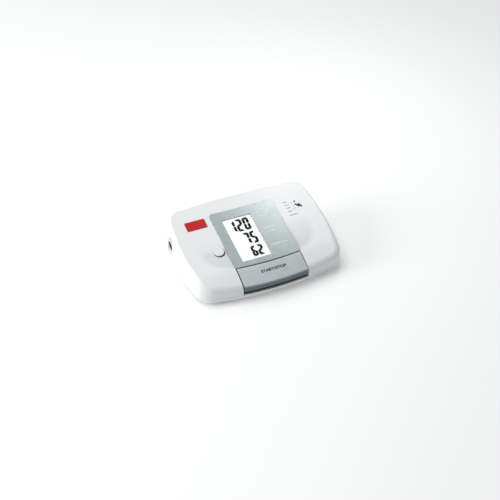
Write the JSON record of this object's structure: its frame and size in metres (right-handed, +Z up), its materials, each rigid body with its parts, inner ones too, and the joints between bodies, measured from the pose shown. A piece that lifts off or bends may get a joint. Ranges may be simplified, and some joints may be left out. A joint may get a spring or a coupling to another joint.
{
  "type": "upper-arm blood pressure monitor",
  "caption": "Desktop upper-arm blood pressure monitor: wedge-shaped case with a tall LCD in a grey panel, a START/STOP bar, a memory button and an air socket.",
  "frame": {"origin": "centre of the case's footprint box, on the resting surface under the rubber feet", "axes": "+X to the user's right, +Y away from the user towards the high back of the case, +Z up"},
  "size_m": [0.158, 0.1073, 0.0427],
  "materials": {
    "white_case": "smooth, slightly glossy white ABS",
    "white_button": "smooth white ABS",
    "grey_panel": "satin silver-grey paint",
    "grey_key": "satin silver-grey paint",
    "clear_window": "clear acrylic",
    "red_badge": "glossy red",
    "spring_steel": "bright wire",
    "grey_rubber": "matte",
    "screw_steel": "zinc plated",
    "cell_sleeve": "plain printed sleeve",
    "contact_metal": "nickel plated",
    "lcd_face": "reflective LCD",
    "white_film": "pearly film",
    "white_plastic": "plain",
    "pink_rubber": "silicone",
    "board_green": "solder mask",
    "black_plastic": "plain",
    "tan_ceramic": "plain",
    "motor_steel": "plated",
    "brass": "bright",
    "pump_plastic": "plain",
    "black_rubber": "matte",
    "coil_copper": "enamelled copper",
    "hose_silicone": "milky silicone",
    "dark_socket": "plain",
    "ring_grey": "plain",
    "wire_insulation": "PVC"
  },
  "bodies": {
    "base": {"top_cover": "white_case", "bottom_cover": "white_case", "panel_bezel": "grey_panel", "lcd_window": "clear_window", "badge_plate": "red_badge", "key_springs": "spring_steel", "rubber_feet": "grey_rubber", "housing_screws": "screw_steel", "battery_cells": "cell_sleeve", "battery_springs": "spring_steel", "battery_contacts": "contact_metal", "lcd_glass": "lcd_face", "lcd_reflector": "white_film", "lcd_frame": "white_plastic", "zebra_strip": "pink_rubber", "main_board": "board_green", "board_screws": "screw_steel", "key_board": "board_green", "start_switch": "black_plastic", "memory_switch": "black_plastic", "microcontroller": "black_plastic", "memory_chip": "black_plastic", "motor_driver": "black_plastic", "crystal": "contact_metal", "small_parts": "tan_ceramic", "capacitors": "contact_metal", "buzzer": "black_plastic", "wire_header": "white_plastic", "pressure_sensor": "white_plastic", "pump_motor": "motor_steel", "motor_terminals": "brass", "pump_head": "pump_plastic", "pump_diaphragm": "black_rubber", "pump_cap": "pump_plastic", "pump_screws": "screw_steel", "pump_sleeves": "black_rubber", "valve_yoke": "motor_steel", "valve_coil": "coil_copper", "valve_spring": "spring_steel", "valve_nozzle": "pump_plastic", "air_manifold": "pump_plastic", "pump_hose": "hose_silicone", "socket_hose": "hose_silicone", "valve_hose": "hose_silicone", "sensor_hose": "hose_silicone", "air_socket": "dark_socket", "socket_ring": "ring_grey", "socket_seal": "black_rubber", "dc_jack": "black_plastic", "dc_jack_pin": "contact_metal", "wires": "wire_insulation"},
    "start_key": {"start_key": "grey_key"},
    "memory_key": {"memory_key": "white_button"},
    "start_switch_plunger": {"start_switch_plunger": "white_plastic"},
    "memory_switch_plunger": {"memory_switch_plunger": "white_plastic"},
    "battery_door": {"battery_door": "white_case"},
    "pump_rotor": {"pump_rotor": "motor_steel"},
    "valve_plunger": {"valve_plunger": "motor_steel"}
  },
  "joints": [
    {"name": "start_key_press", "type": "slide", "parent": "base", "child": "start_key", "axis": [0, 0, -1], "range_m": [0, 0.001], "stiffness_N_per_m": 600, "springref_m": -0.0006, "deforming": ["key_springs"]},
    {"name": "start_switch_click", "type": "slide", "parent": "base", "child": "start_switch_plunger", "axis": [0, 0, -1], "range_m": [0, 0.0004]},
    {"name": "memory_key_press", "type": "slide", "parent": "base", "child": "memory_key", "axis": [0, 0.2079, -0.9781], "range_m": [0, 0.0006], "stiffness_N_per_m": 120, "springref_m": -0.0012},
    {"name": "memory_switch_click", "type": "slide", "parent": "base", "child": "memory_switch_plunger", "axis": [0, 0.2079, -0.9781], "range_m": [0, 0.0003]},
    {"name": "battery_door_open", "type": "hinge", "parent": "base", "child": "battery_door", "pos_m": [-0.03045, -0.01595, 0.0026], "axis": [-1, 0, 0], "range_deg": [0, 95]},
    {"name": "pump_spin", "type": "hinge", "parent": "base", "child": "pump_rotor", "pos_m": [0.04, 0.02195, 0.0176], "axis": [1, 0, 0], "continuous": true},
    {"name": "valve_pull", "type": "slide", "parent": "base", "child": "valve_plunger", "axis": [-1, 0, 0], "range_m": [0, 0.0008], "stiffness_N_per_m": 200, "springref_m": -0.002, "deforming": ["valve_spring"]}
  ],
  "couplings": [
    {"joint": "start_switch_click", "follows": "start_key_press", "ratio": 0.4},
    {"joint": "memory_switch_click", "follows": "memory_key_press", "ratio": 0.5}
  ]
}
